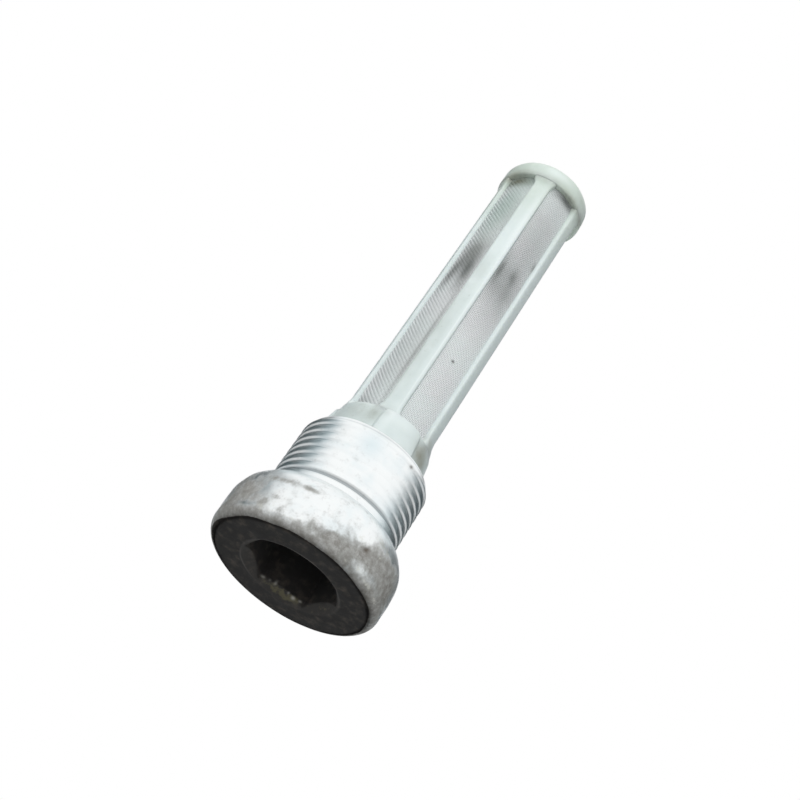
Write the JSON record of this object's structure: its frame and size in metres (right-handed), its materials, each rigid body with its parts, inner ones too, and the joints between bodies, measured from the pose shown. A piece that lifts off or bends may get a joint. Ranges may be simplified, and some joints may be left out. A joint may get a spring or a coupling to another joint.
{
  "type": "fuel pump strainer",
  "caption": "Screw-in fuel strainer: a steel plug with a round head and hexagon socket carries a slim ribbed plastic frame with a gauze sleeve, open at its tip.",
  "frame": {"origin": "centre of the outer face of the plug's head, on which the strainer stands", "axes": "+Z along the axis of the plug and strainer, from the head towards the open tip; -Y towards the side that the picture shows"},
  "size_m": [0.0288, 0.0288, 0.0905],
  "materials": {
    "plug_steel": "zinc plated, dulled and worn to brown-grey on the head",
    "frame_nylon": "milky, slightly translucent moulded nylon",
    "gauze_steel": "fine twill-woven wire gauze, a little stained"
  },
  "bodies": {
    "root": {"screw_plug": "plug_steel", "strainer_frame": "frame_nylon", "gauze_sleeve": "gauze_steel"}
  },
  "joints": []
}
